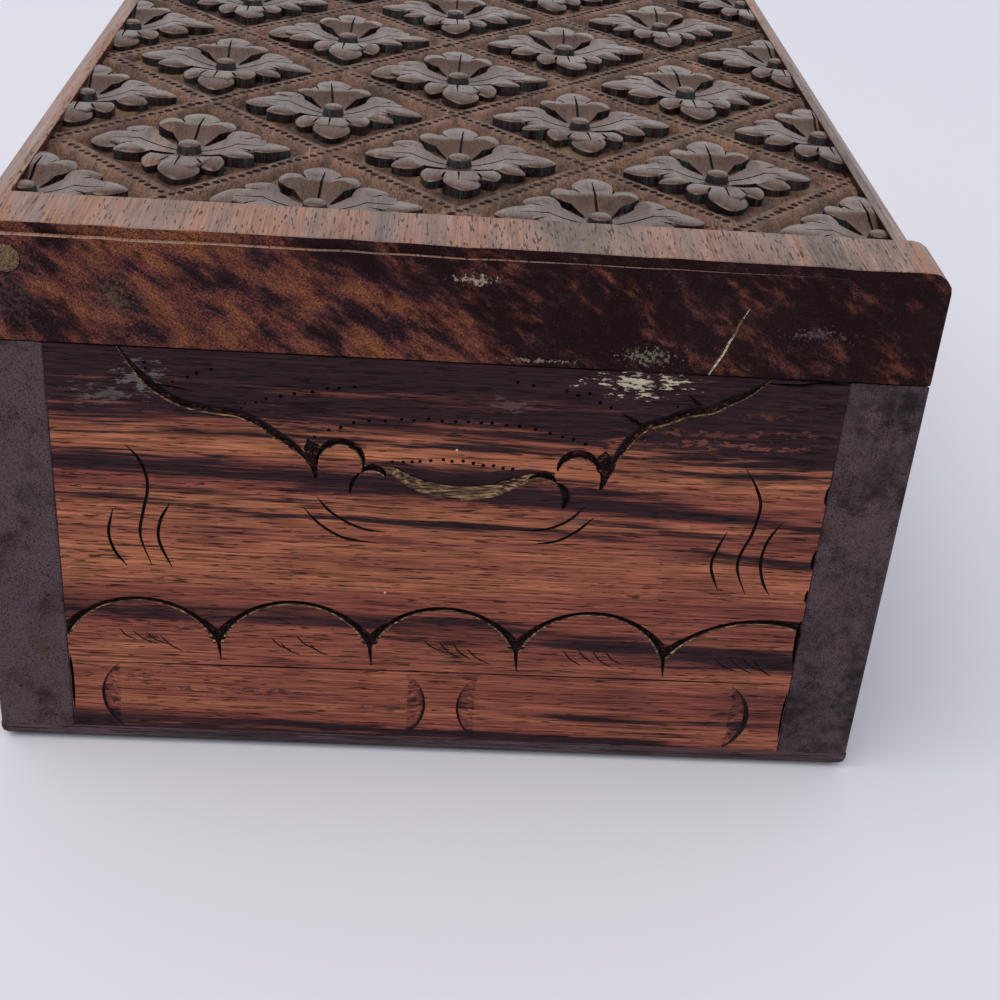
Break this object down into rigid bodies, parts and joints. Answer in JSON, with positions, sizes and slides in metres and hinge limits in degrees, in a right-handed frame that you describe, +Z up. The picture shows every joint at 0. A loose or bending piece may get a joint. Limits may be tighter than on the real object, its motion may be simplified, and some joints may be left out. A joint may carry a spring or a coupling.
{
  "type": "carved wooden box",
  "caption": "Small hinged wooden box, its thick lid carved in relief with a lattice of flowers, the ends and sides cut with scallops.",
  "frame": {"origin": "centre of the underside of the bottom board", "axes": "+Z up, +Y along the length from the near end in the picture to the far one, +X across towards the front, where the lid opens; the hinges are at low X"},
  "size_m": [0.1004, 0.1524, 0.0645],
  "materials": {
    "lid_wood": "hand carved rosewood, waxed, dusty in the ground",
    "end_wood": "waxed rosewood, long grain",
    "side_wood": "waxed rosewood, dark",
    "base_wood": "rosewood, worn",
    "plug_wood": "filled plug, dull",
    "hinge_brass": "aged brass",
    "screw_brass": "aged brass",
    "nail_steel": "dull steel"
  },
  "bodies": {
    "box_body": {"bottom_board": "base_wood", "front_wall": "side_wood", "back_wall": "side_wood", "near_end_panel": "end_wood", "far_end_panel": "end_wood", "near_hinge_wall_leaf": "hinge_brass", "near_hinge_pin": "hinge_brass", "near_hinge_wall_screw_1": "screw_brass", "near_hinge_wall_screw_2": "screw_brass", "far_hinge_wall_leaf": "hinge_brass", "far_hinge_pin": "hinge_brass", "far_hinge_wall_screw_1": "screw_brass", "far_hinge_wall_screw_2": "screw_brass", "corner_nail_1": "nail_steel", "bottom_nail_1": "nail_steel", "corner_nail_2": "nail_steel", "bottom_nail_2": "nail_steel", "corner_nail_3": "nail_steel", "bottom_nail_3": "nail_steel", "corner_nail_4": "nail_steel", "bottom_nail_4": "nail_steel", "corner_nail_5": "nail_steel", "bottom_nail_5": "nail_steel", "corner_nail_6": "nail_steel", "bottom_nail_6": "nail_steel", "corner_nail_7": "nail_steel", "bottom_nail_7": "nail_steel", "corner_nail_8": "nail_steel", "bottom_nail_8": "nail_steel"},
    "lid_body": {"lid": "lid_wood", "lid_end_plug": "plug_wood", "near_hinge_lid_leaf": "hinge_brass", "near_hinge_lid_screw_1": "screw_brass", "near_hinge_lid_screw_2": "screw_brass", "far_hinge_lid_leaf": "hinge_brass", "far_hinge_lid_screw_1": "screw_brass", "far_hinge_lid_screw_2": "screw_brass"}
  },
  "joints": [
    {"name": "lid_hinge", "type": "hinge", "parent": "box_body", "child": "lid_body", "pos_m": [-0.0488, 0, 0.05175], "axis": [0, -1, 0], "range_deg": [0, 104]}
  ]
}
